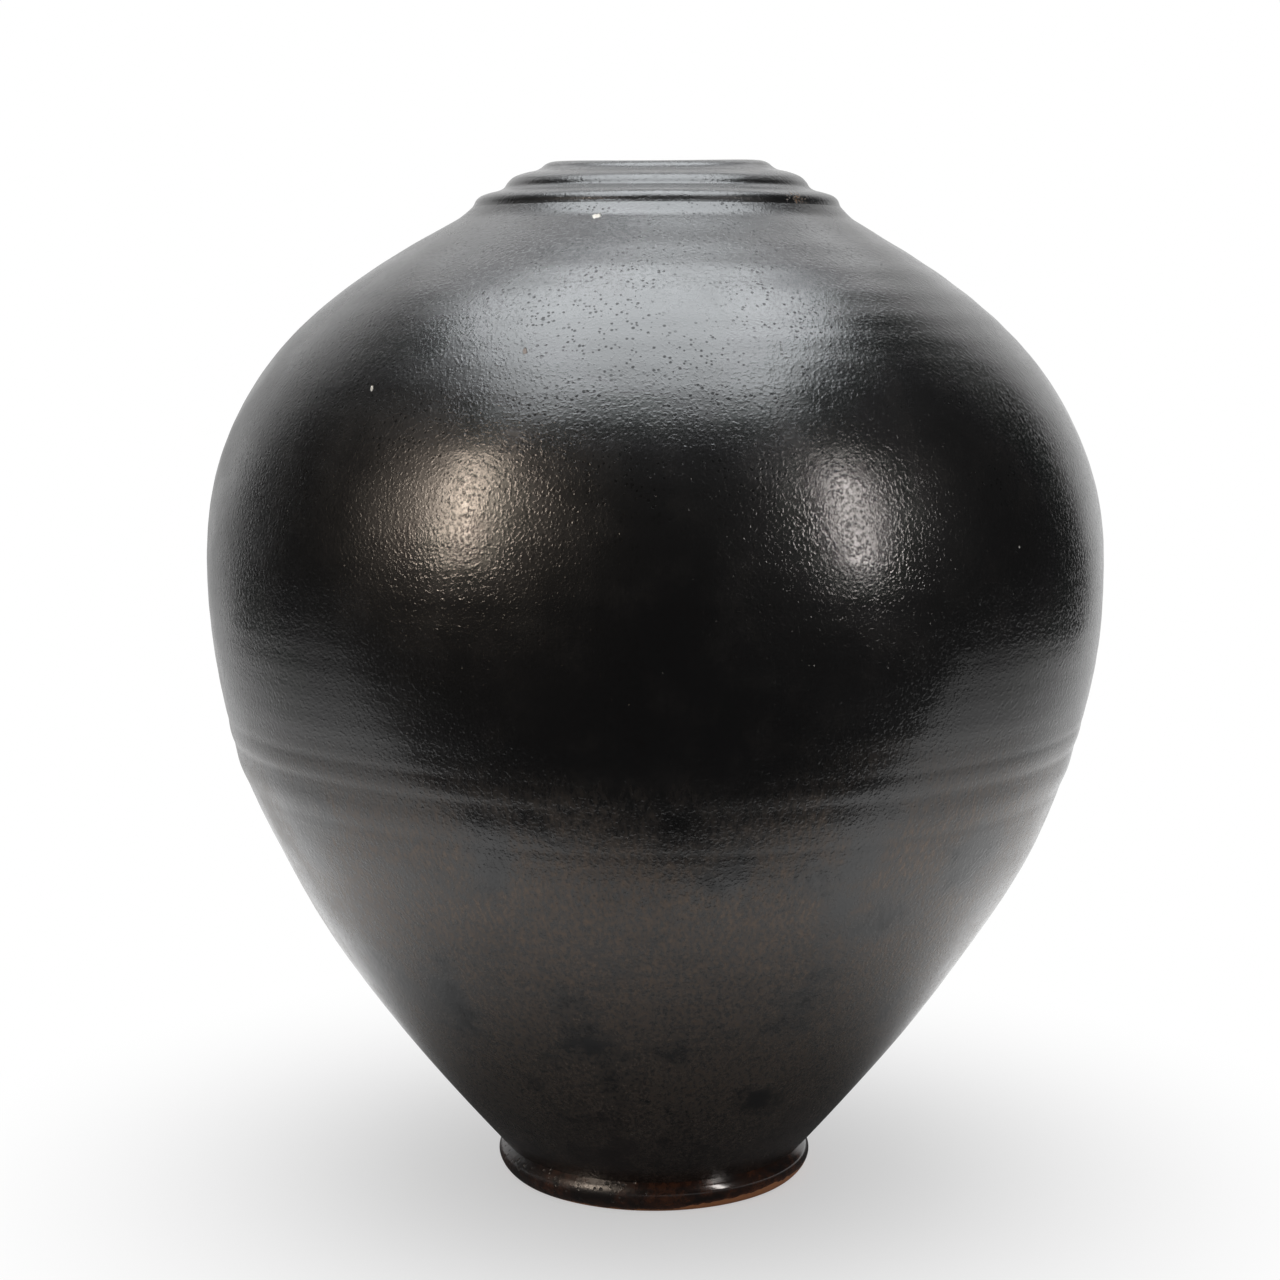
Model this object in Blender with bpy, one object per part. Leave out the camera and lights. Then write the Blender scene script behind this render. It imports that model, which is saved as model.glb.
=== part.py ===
"""Large wheel-thrown stoneware jar with a black iron glaze.

The jar is built the way it is potted, from five bowls and rings of clay on one axis:
    foot_ring    turned ring that the jar stands on
    lower_body   floor and lower wall, thrown as one bowl, with a spigot that drops into the foot ring
    seam_band    coil of clay pressed into the rebate where the two thrown sections meet
    upper_body   belly and shoulder, open at both ends
    collar       stepped mouth ring, with a spigot that drops into the shoulder

Units are metres and +Z is up. The origin is the centre of the circle that the foot rests on.
Outlines are lists of (radius, height) points, and a share is a fraction of the stretch it shapes.
"""

import math

import bmesh
import bpy
import numpy as np

# Overall sizes
OVERALL_HEIGHT = 0.400
BELLY_RADIUS = 0.1747
BELLY_HEIGHT = 0.2464

# Walls, and the gap that every luted joint keeps
WALL = 0.0075
FLOOR = 0.0105
FLOOR_FILLET = 0.020
JOINT_GAP = 0.0003

# Neck where the lower wall leaves the foot, and the foot ring that follows it
NECK_RADIUS = 0.0601
FOOT_HEIGHT = 0.012
FOOT_LEDGE = 0.0011
FOOT_SWELL = 0.0019
FOOT_TUCK = 0.0058
FOOT_REST_WIDTH = 0.0073
FOOT_CHAMFER = 0.0020
FOOT_BULGE_SHARE = 0.58
FOOT_SPIGOT_DEPTH = 0.0030

# Seam between the two thrown sections
SEAM_HEIGHT = 0.1835
SEAM_BAND_HEIGHT = 0.0090
SEAM_BAND_DEPTH = 0.0036
SEAM_BAND_CROWN = 0.0006

# Flat top of the shoulder, and the collar that sits on it in three rounded steps
SHOULDER_RADIUS = 0.07115
SEAT_WIDTH = 0.0125
COLLAR_INSET = 0.0009
COLLAR_HEIGHT = 0.0180
COLLAR_SPIGOT_DEPTH = 0.0030
MOUTH_RADIUS = 0.0345
STEP_RADIUS_SHARES = (1.0, 0.690, 0.315, 0.125)
STEP_HEIGHT_SHARES = (0.0, 0.478, 0.828, 1.0)

# Handles of the wall curve, as (radius, height) shares of the stretch below and above the belly
NECK_HANDLE = (0.748, 0.415)
BELLY_HANDLES = (0.316, 0.653)
SHOULDER_HANDLE = (0.246, 0.126)

# Facets
SEGMENTS = 56
CURVE_SAMPLES = 200
WALL_STATIONS = 12
SHOULDER_STATIONS = 15
STEP_STATIONS = 4
SMOOTH_ANGLE = math.radians(35)


def clear_scene():
    """Remove whatever the file already holds."""
    for obj in list(bpy.data.objects):
        bpy.data.objects.remove(obj, do_unlink=True)


def shoulder_height():
    """Height of the shoulder's flat top, which carries the collar."""
    return OVERALL_HEIGHT - COLLAR_HEIGHT


def foot_bore_radius():
    """Bore of the foot ring, which the spigot under the floor drops into."""
    bulge = NECK_RADIUS + FOOT_LEDGE + FOOT_SWELL
    return bulge - FOOT_TUCK - FOOT_REST_WIDTH - FOOT_CHAMFER


def seam_heights():
    """Bottom, middle and top of the rebate that holds the seam band."""
    half = SEAM_BAND_HEIGHT / 2
    return SEAM_HEIGHT - half, SEAM_HEIGHT, SEAM_HEIGHT + half


def bezier(start, start_handle, end_handle, end):
    """Points of one cubic curve."""
    t = np.linspace(0.0, 1.0, CURVE_SAMPLES)[:, None]
    weights = ((1 - t) ** 3, 3 * (1 - t) ** 2 * t, 3 * (1 - t) * t ** 2, t ** 3)
    return sum(w * np.array(p) for w, p in zip(weights, (start, start_handle, end_handle, end)))


def arc(centre, radii, start_deg, end_deg, stations):
    """Points of an elliptical arc, with angles counted from the outward radius."""
    angles = np.radians(np.linspace(start_deg, end_deg, stations))
    return [(centre[0] + radii[0] * math.cos(a), centre[1] + radii[1] * math.sin(a)) for a in angles]


def outer_wall():
    """Outside of the wall from the foot to the collar, rising all the way."""
    neck = np.array((NECK_RADIUS, FOOT_HEIGHT + JOINT_GAP))
    belly = np.array((BELLY_RADIUS, BELLY_HEIGHT))
    shoulder = np.array((SHOULDER_RADIUS, shoulder_height()))
    lower_span = belly - neck
    upper_span = shoulder - belly
    lower = bezier(neck, neck + lower_span * NECK_HANDLE,
                   belly - lower_span * (0.0, BELLY_HANDLES[0]), belly)
    upper = bezier(belly, belly + upper_span * (0.0, BELLY_HANDLES[1]),
                   shoulder - upper_span * SHOULDER_HANDLE, shoulder)
    return np.vstack((lower, upper[1:]))


def inner_wall(outer):
    """Inside of the wall: the outside moved in by the wall's thickness."""
    way = np.gradient(outer, axis=0)
    way /= np.linalg.norm(way, axis=1)[:, None]
    inward = np.column_stack((-way[:, 1], way[:, 0]))
    return outer + WALL * inward


def radius_at(wall, height):
    """Radius of a wall curve at one height."""
    return float(np.interp(height, wall[:, 1], wall[:, 0]))


def lean_at(wall, height):
    """Lean of a wall curve from upright at one height, in degrees."""
    step = WALL / 2
    run = radius_at(wall, height + step) - radius_at(wall, height - step)
    return math.degrees(math.atan2(run, 2 * step))


def stretch(wall, low, high, stations):
    """Points of a wall curve from one height up to another, evenly spread along it."""
    between = wall[(wall[:, 1] > low) & (wall[:, 1] < high)]
    path = np.vstack(((radius_at(wall, low), low), between, (radius_at(wall, high), high)))
    lengths = np.linalg.norm(np.diff(path, axis=0), axis=1)
    run = np.concatenate(([0.0], np.cumsum(lengths)))
    stops = np.linspace(0.0, run[-1], stations)
    return list(zip(np.interp(stops, run, path[:, 0]), np.interp(stops, run, path[:, 1])))


def foot_ring_outline():
    """Foot ring: flat rest, rounded outer bulge, flat top and straight bore."""
    top_radius = NECK_RADIUS + FOOT_LEDGE
    bore = foot_bore_radius()
    bulge_height = FOOT_BULGE_SHARE * FOOT_HEIGHT
    rest_radius = top_radius + FOOT_SWELL - FOOT_TUCK
    under = arc((rest_radius, bulge_height), (FOOT_TUCK, bulge_height), -90, 0, 5)
    over = arc((top_radius, bulge_height), (FOOT_SWELL, FOOT_HEIGHT - bulge_height), 0, 90, 4)
    inside = [(bore, FOOT_HEIGHT), (bore, FOOT_CHAMFER), (bore + FOOT_CHAMFER, 0.0)]
    return under + over[1:] + inside


def floor_corner(inner, floor_top):
    """Fillet between the inner wall and the floor, from the wall down to the floor."""
    lean = lean_at(inner, floor_top + FLOOR_FILLET)
    rise = FLOOR_FILLET * (1 - math.sin(math.radians(lean)))
    centre_radius = radius_at(inner, floor_top + rise) - FLOOR_FILLET * math.cos(math.radians(lean))
    centre = (centre_radius, floor_top + FLOOR_FILLET)
    return arc(centre, (FLOOR_FILLET, FLOOR_FILLET), -lean, -90, 4)


def lower_body_outline(outer, inner):
    """Lower bowl: spigot, joint face on the foot, outer wall, rebated rim, inner wall and floor."""
    bottom, middle, _ = seam_heights()
    spigot_radius = foot_bore_radius() - JOINT_GAP
    spigot_bottom = FOOT_HEIGHT - FOOT_SPIGOT_DEPTH
    joint = FOOT_HEIGHT + JOINT_GAP
    floor_top = spigot_bottom + FLOOR
    rim_top = middle - JOINT_GAP / 2
    rebate_radius = radius_at(outer, middle) - SEAM_BAND_DEPTH - JOINT_GAP
    base = [(0.0, spigot_bottom), (spigot_radius, spigot_bottom), (spigot_radius, joint)]
    outside = stretch(outer, joint, bottom, WALL_STATIONS)
    rebate = [(rebate_radius, bottom), (rebate_radius, rim_top)]
    corner = floor_corner(inner, floor_top)
    inside = stretch(inner, corner[0][1], rim_top, WALL_STATIONS)[::-1]
    return base + outside + rebate + inside + corner[1:] + [(0.0, floor_top)]


def seam_band_outline(outer):
    """Seam band: flat back and edges in the rebate, and a low crown outside."""
    bottom, middle, top = seam_heights()
    low = bottom + JOINT_GAP
    high = top - JOINT_GAP
    back = radius_at(outer, middle) - SEAM_BAND_DEPTH
    crown = radius_at(outer, middle) + SEAM_BAND_CROWN
    front = [(radius_at(outer, low), low), (crown, middle), (radius_at(outer, high), high)]
    return [(back, low)] + front + [(back, high)]


def upper_body_outline(outer, inner):
    """Belly and shoulder: rebated lower rim, outer wall, collar seat and inner wall."""
    _, middle, top = seam_heights()
    rim_bottom = middle + JOINT_GAP / 2
    rebate_radius = radius_at(outer, middle) - SEAM_BAND_DEPTH - JOINT_GAP
    seat_bore = SHOULDER_RADIUS - SEAT_WIDTH
    throat_height = shoulder_height() - WALL
    rebate = [(rebate_radius, rim_bottom), (rebate_radius, top)]
    outside = stretch(outer, top, shoulder_height(), SHOULDER_STATIONS)
    throat = [(seat_bore, shoulder_height()), (seat_bore, throat_height)]
    inside = stretch(inner, rim_bottom, throat_height, WALL_STATIONS)[::-1]
    return rebate + outside + throat + inside


def collar_steps():
    """Outside of the collar: three quarter rounds, each set in and up from the one below."""
    joint = shoulder_height() + JOINT_GAP
    breadth = SHOULDER_RADIUS - COLLAR_INSET - MOUTH_RADIUS
    rise = OVERALL_HEIGHT - joint
    radii = [MOUTH_RADIUS + breadth * share for share in STEP_RADIUS_SHARES]
    heights = [joint + rise * share for share in STEP_HEIGHT_SHARES]
    steps = []
    for low in range(len(radii) - 1):
        centre = (radii[low + 1], heights[low])
        steps += arc(centre, (radii[low] - radii[low + 1], heights[low + 1] - heights[low]), 0, 90,
                     STEP_STATIONS)
    return steps


def collar_outline():
    """Collar: spigot, joint face on the shoulder, steps, rounded lip and flared bore."""
    joint = shoulder_height() + JOINT_GAP
    spigot_radius = SHOULDER_RADIUS - SEAT_WIDTH - JOINT_GAP
    spigot_bottom = shoulder_height() - COLLAR_SPIGOT_DEPTH
    steps = collar_steps()
    lip_radius = steps[-1][0] - MOUTH_RADIUS
    lip = arc((steps[-1][0], OVERALL_HEIGHT - lip_radius), (lip_radius, lip_radius), 90, 180, STEP_STATIONS)
    spigot = [(spigot_radius - WALL, spigot_bottom), (spigot_radius, spigot_bottom), (spigot_radius, joint)]
    return spigot + steps + lip[1:]


def turn(name, outline, material):
    """Spin an outline about Z into one closed solid; one that starts on the axis is left open there."""
    mesh = bpy.data.meshes.new(name)
    body = bmesh.new()
    points = [body.verts.new((radius, 0.0, height)) for radius, height in outline]
    pairs = list(zip(points, points[1:]))
    if outline[0][0] > 0.0:
        pairs.append((points[-1], points[0]))
    edges = [body.edges.new(pair) for pair in pairs]
    bmesh.ops.spin(body, geom=points + edges, cent=(0, 0, 0), axis=(0, 0, 1), dvec=(0, 0, 0),
                   angle=2 * math.pi, steps=SEGMENTS, use_merge=True, use_duplicate=False)
    bmesh.ops.remove_doubles(body, verts=body.verts, dist=1e-6)
    bmesh.ops.recalc_face_normals(body, faces=body.faces)
    body.to_mesh(mesh)
    body.free()
    mesh.shade_smooth()
    mesh.set_sharp_from_angle(angle=SMOOTH_ANGLE)
    mesh.materials.append(material)
    piece = bpy.data.objects.new(name, mesh)
    bpy.context.scene.collection.objects.link(piece)


def fired_clay(name, colour, roughness):
    """Plain finish of one piece."""
    material = bpy.data.materials.new(name)
    material.use_nodes = True
    shader = material.node_tree.nodes["Principled BSDF"]
    shader.inputs["Base Color"].default_value = (*colour, 1.0)
    shader.inputs["Roughness"].default_value = roughness
    shader.inputs["Metallic"].default_value = 0.0
    return material


def main():
    """Build the five pieces."""
    clear_scene()
    outer = outer_wall()
    inner = inner_wall(outer)
    turn("foot_ring", foot_ring_outline(), fired_clay("foot_glaze", (0.060, 0.030, 0.018), 0.28))
    turn("lower_body", lower_body_outline(outer, inner), fired_clay("lower_glaze", (0.030, 0.025, 0.022), 0.30))
    turn("seam_band", seam_band_outline(outer), fired_clay("seam_glaze", (0.016, 0.014, 0.014), 0.28))
    turn("upper_body", upper_body_outline(outer, inner), fired_clay("upper_glaze", (0.012, 0.011, 0.012), 0.26))
    turn("collar", collar_outline(), fired_clay("collar_glaze", (0.018, 0.015, 0.014), 0.30))


main()
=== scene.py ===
"""Large wheel-thrown stoneware jar with a black iron glaze, set on a pale studio floor.

Five pieces of clay stand for the five parts of the frame: the turned foot, the lower bowl, the pressed
seam, the belly with its shoulder, and the stepped collar. Each is turned from one outline, and every
outline shares the same hand: its sway, its throwing rings and its relief, so that neighbours meet.

Units are metres, +Z is up, and the jar's front faces -Y.
"""

import logging
import math
from dataclasses import dataclass
from enum import Enum

import bmesh
import bpy
import numpy as np
from mathutils import Euler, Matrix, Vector


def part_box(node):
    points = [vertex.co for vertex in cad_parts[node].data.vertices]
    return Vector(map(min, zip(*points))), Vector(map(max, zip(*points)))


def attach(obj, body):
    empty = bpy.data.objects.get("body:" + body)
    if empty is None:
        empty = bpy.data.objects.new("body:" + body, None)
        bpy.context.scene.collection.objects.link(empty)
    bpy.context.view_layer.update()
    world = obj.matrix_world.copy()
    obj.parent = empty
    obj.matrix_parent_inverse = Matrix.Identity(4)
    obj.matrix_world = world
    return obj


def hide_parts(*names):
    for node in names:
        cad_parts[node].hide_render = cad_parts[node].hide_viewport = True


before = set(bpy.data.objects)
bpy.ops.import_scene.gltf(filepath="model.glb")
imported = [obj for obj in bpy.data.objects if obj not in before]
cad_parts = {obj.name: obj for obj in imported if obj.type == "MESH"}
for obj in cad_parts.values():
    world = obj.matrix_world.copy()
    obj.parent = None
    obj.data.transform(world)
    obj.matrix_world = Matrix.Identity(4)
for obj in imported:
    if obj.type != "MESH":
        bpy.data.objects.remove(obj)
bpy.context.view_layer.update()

ROOT = "root"
TURN = 2.0 * math.pi
POLE_REACH = 0.0012
WELD = 2e-5
GLAZE_IOR = 1.56
FLAT = (1.0, 1.0, 0.0)
FLOAT, VECTOR = "NodeSocketFloat", "NodeSocketVector"
log = logging.getLogger("jar")

Colour = tuple[float, float, float]
Outline = np.ndarray
Socket = bpy.types.NodeSocket


# ---------------------------------------------------------------------------------------------------
# Form: the outlines that the potter turns
# ---------------------------------------------------------------------------------------------------

class Skin(Enum):
    """Which face of the clay a stretch of outline is."""

    OUTSIDE = 0
    INSIDE = 1
    RAW = 2


def bezier(start: np.ndarray, first: np.ndarray, second: np.ndarray, end: np.ndarray,
           samples: int = 400) -> Outline:
    """Sample one cubic curve.

    Args:
        start: First point, as (radius, height).
        first: Handle of the first point.
        second: Handle of the last point.
        end: Last point.
        samples: How many points to take.

    Returns:
        The points, one row each.
    """
    t = np.linspace(0.0, 1.0, samples)[:, None]
    weights = ((1 - t) ** 3, 3 * (1 - t) ** 2 * t, 3 * (1 - t) * t ** 2, t ** 3)
    return sum(w * np.asarray(p) for w, p in zip(weights, (start, first, second, end)))


def spline(points: tuple[tuple[float, float], ...], samples: int = 10) -> Outline:
    """Draw a smooth curve through points.

    Args:
        points: Points as (radius, height).
        samples: How many points to take between two of them.

    Returns:
        The curve's points, one row each.
    """
    knots = np.array(points)
    knots = np.vstack((2 * knots[0] - knots[1], knots, 2 * knots[-1] - knots[-2]))
    t = np.linspace(0.0, 1.0, samples, endpoint=False)[:, None]
    curve = []
    for before, start, end, after in zip(knots, knots[1:], knots[2:], knots[3:]):
        curve.append(0.5 * (2 * start + (end - before) * t
                            + (2 * before - 5 * start + 4 * end - after) * t ** 2
                            + (3 * start - before - 3 * end + after) * t ** 3))
    return np.vstack(curve + [knots[-2:-1]])


def spread(path: Outline, step: float, soften: float = 0.0) -> Outline:
    """Space points evenly along a path, and round its corners if asked.

    Args:
        path: The path's points.
        step: Distance between the new points.
        soften: Width over which corners are rounded; the two ends stay in place.

    Returns:
        The new points, first and last as before.
    """
    lengths = np.linalg.norm(np.diff(path, axis=0), axis=1)
    run = np.concatenate(([0.0], np.cumsum(lengths)))
    count = max(2, int(round(run[-1] / step)) + 1)
    stops = np.linspace(0.0, run[-1], count)
    points = np.column_stack((np.interp(stops, run, path[:, 0]), np.interp(stops, run, path[:, 1])))
    if soften > 0.0 and count > 4:
        reach = max(1, int(round(soften / step)))
        offsets = np.arange(-2 * reach, 2 * reach + 1)
        kernel = np.exp(-0.5 * (offsets / reach) ** 2)
        kernel /= kernel.sum()
        first, last = points[0].copy(), points[-1].copy()
        before = 2 * first - points[1:2 * reach + 1][::-1]
        after = 2 * last - points[-2 * reach - 1:-1][::-1]
        padded = np.vstack((before, points, after))
        points = np.column_stack([np.convolve(padded[:, axis], kernel, "valid") for axis in (0, 1)])
        points[0], points[-1] = first, last
    return points


def bell(value: np.ndarray, centre: float, width: float) -> np.ndarray:
    """A smooth bump of height one around a centre."""
    return np.exp(-((value - centre) / width) ** 2)


def ease(value: np.ndarray, low: float, high: float) -> np.ndarray:
    """A smooth step from nought at low to one at high."""
    share = np.clip((value - low) / (high - low), 0.0, 1.0)
    return share * share * (3.0 - 2.0 * share)


@dataclass(frozen=True)
class JarForm:
    """Sizes of the jar, read from the frame where it states them.

    Heights and radii are in metres. Handles are shares of the stretch of wall that they bend.
    """

    height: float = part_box("collar")[1][2]
    belly_radius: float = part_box("upper_body")[1][0]
    belly_height: float = 0.2464
    foot_joint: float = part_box("foot_ring")[1][2] + 0.00015
    neck_radius: float = 0.0601
    shoulder_radius: float = 0.07115
    shoulder_joint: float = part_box("upper_body")[1][2] + 0.00015
    seam_low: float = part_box("seam_band")[0][2] - 0.0003
    seam_high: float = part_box("seam_band")[1][2] + 0.0003
    seam_depth: float = 0.0036
    wall: float = 0.0075
    fit_gap: float = 0.0003
    collar_rise: float = 0.0014
    collar_reach: float = 0.0060
    neck_handle: tuple[float, float] = (0.748, 0.415)
    belly_handles: tuple[float, float] = (0.316, 0.653)
    shoulder_handle: tuple[float, float] = (0.246, 0.126)

    def seam_middle(self) -> float:
        """Height where the two thrown sections meet inside."""
        return 0.5 * (self.seam_low + self.seam_high)

    def outer_wall(self) -> Outline:
        """Outside of the wall, from the foot up to the collar."""
        neck = np.array((self.neck_radius, self.foot_joint))
        belly = np.array((self.belly_radius, self.belly_height))
        shoulder = np.array((self.shoulder_radius, self.shoulder_joint))
        below, above = belly - neck, shoulder - belly
        lower = bezier(neck, neck + below * self.neck_handle,
                       belly - below * (0.0, self.belly_handles[0]), belly)
        upper = bezier(belly, belly + above * (0.0, self.belly_handles[1]),
                       shoulder - above * self.shoulder_handle, shoulder)
        return np.vstack((lower, upper[1:]))

    def inner_wall(self) -> Outline:
        """Inside of the wall: the outside moved in by the wall's thickness."""
        outer = self.outer_wall()
        way = np.gradient(outer, axis=0)
        way /= np.linalg.norm(way, axis=1)[:, None]
        return outer + self.wall * np.column_stack((-way[:, 1], way[:, 0]))


def radius_at(wall: Outline, height: float) -> float:
    """Radius of a wall at one height."""
    return float(np.interp(height, wall[:, 1], wall[:, 0]))


def stretch(wall: Outline, low: float, high: float) -> Outline:
    """Cut the stretch of a wall between two heights, from low to high."""
    between = wall[(wall[:, 1] > low) & (wall[:, 1] < high)]
    return np.vstack(((radius_at(wall, low), low), between, (radius_at(wall, high), high)))


@dataclass(frozen=True)
class PotterHand:
    """Everything that keeps a thrown jar from being a perfect solid of revolution.

    Args:
        sway: Pairs of height and sideways shift of the axis.
        seed: Seed of the random waves.
        lump_depth: Height of the wall's slow unevenness.
        lump_size: Typical length of its waves.
        ring_depth: Height of the throwing rings on the wall.
        ring_pitch: Distance between them.
        shoulder_ring_depth: Height of the rings under the collar.
        finger_depth: Height of the ridges inside.
        finger_pitch: Distance between them.
        rim_lift: Rise and dip of the rim.
        groove_depth: Depth of the two grooves at the seam.
        groove_width: Width of those grooves.
        band_crown: How far the band between them bulges.
        swelling: How far the wall swells under them.
    """

    sway: tuple[tuple[float, float], ...] = (
        (0.000, 0.0000), (0.100, 0.0000), (0.136, 0.0010), (0.170, 0.0000), (0.225, 0.0005),
        (0.265, 0.0000), (0.350, -0.0010), (0.372, -0.0006), (0.385, 0.0010), (0.402, 0.0010))
    seed: int = 11
    lump_depth: float = 0.00022
    lump_size: float = 0.070
    ring_depth: float = 0.000022
    ring_pitch: float = 0.0098
    shoulder_ring_depth: float = 0.00012
    finger_depth: float = 0.0006
    finger_pitch: float = 0.013
    rim_lift: float = 0.0007
    groove_depth: float = 0.00025
    groove_width: float = 0.0016
    band_crown: float = 0.00030
    swelling: float = 0.0006

    def shift(self, z: np.ndarray) -> np.ndarray:
        """Sideways shift of the axis at each height."""
        knots = np.array(self.sway)
        fine = np.linspace(knots[0, 0], knots[-1, 0], 300)
        line = np.interp(fine, knots[:, 0], knots[:, 1])
        kernel = bell(np.linspace(-1.0, 1.0, 13), 0.0, 0.6)
        line = np.convolve(np.pad(line, 6, mode="edge"), kernel / kernel.sum(), "valid")
        return np.interp(z, fine, line)

    def lumps(self, points: np.ndarray) -> np.ndarray:
        """Slow unevenness of the wall.

        Args:
            points: Places on the jar, one row each.

        Returns:
            Outward offset at each place.
        """
        dice = np.random.default_rng(self.seed)
        total = np.zeros(len(points))
        for wave in range(9):
            way = dice.normal(size=3)
            way *= TURN / (self.lump_size * (0.55 + 0.9 * dice.random())) / np.linalg.norm(way)
            total += np.sin(points @ way + TURN * dice.random())
        return self.lump_depth * total / 3.0

    def outside(self, angle: np.ndarray, z: np.ndarray, form: JarForm) -> np.ndarray:
        """Relief of the outer face: throwing rings, the seam's two grooves and the swelling under them.

        Args:
            angle: Angle about the axis, counted from +X.
            z: Height.
            form: Sizes of the jar.

        Returns:
            Outward offset at each place.
        """
        side = np.abs(np.cos(angle)) ** 1.5
        turn = angle + 0.7 * np.sin(angle * 2.0 + 0.4)
        rings = np.sin(TURN * z / self.ring_pitch + turn) + 0.6 * np.sin(TURN * z / 0.0171 - turn + 1.1)
        body = ease(z, 0.03, 0.09) * (1.0 - ease(z, 0.33, 0.36))
        relief = self.ring_depth * rings * body
        right = 0.35 + 0.65 * ease(np.cos(angle + 0.5), -0.2, 0.8)
        high = ease(z, 0.318, 0.345) * (1.0 - ease(z, 0.378, 0.382))
        relief += self.shoulder_ring_depth * right * high * np.sin(TURN * z / 0.0085 + turn + 0.9)
        pinch = 0.06 + 0.94 * side * (0.75 + 0.25 * np.sin(3.0 * angle + 1.0))
        wander = 0.0009 * np.sin(2.0 * angle + 0.6) + 0.0004 * np.sin(5.0 * angle)
        for height, depth in ((form.seam_low, 1.0), (form.seam_high, 0.85)):
            relief -= self.groove_depth * depth * pinch * bell(z, height + wander, self.groove_width)
        relief += self.band_crown * (0.3 + 0.7 * side) * bell(z, form.seam_middle(), 0.0040)
        relief += self.swelling * side * bell(z, form.seam_low - 0.0085, 0.0060)
        relief -= 0.00012 * bell(z, form.seam_low - 0.0160 + wander, 0.0022)
        return relief

    def inside(self, angle: np.ndarray, z: np.ndarray, form: JarForm) -> np.ndarray:
        """Finger ridges on the inner face, fading out at the joints."""
        clear = 1.0 - bell(z, form.seam_middle(), 0.012)
        body = ease(z, 0.045, 0.08) * (1.0 - ease(z, 0.35, 0.372)) * clear
        return self.finger_depth * body * np.sin(TURN * z / self.finger_pitch + angle)

    def lift(self, angle: np.ndarray, z: np.ndarray, form: JarForm) -> np.ndarray:
        """Rise and dip of the rim."""
        lip = ease(z, form.height - 0.012, form.height)
        return lip * (self.rim_lift * np.cos(2.0 * angle) + 0.00025 * np.cos(angle))


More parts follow.
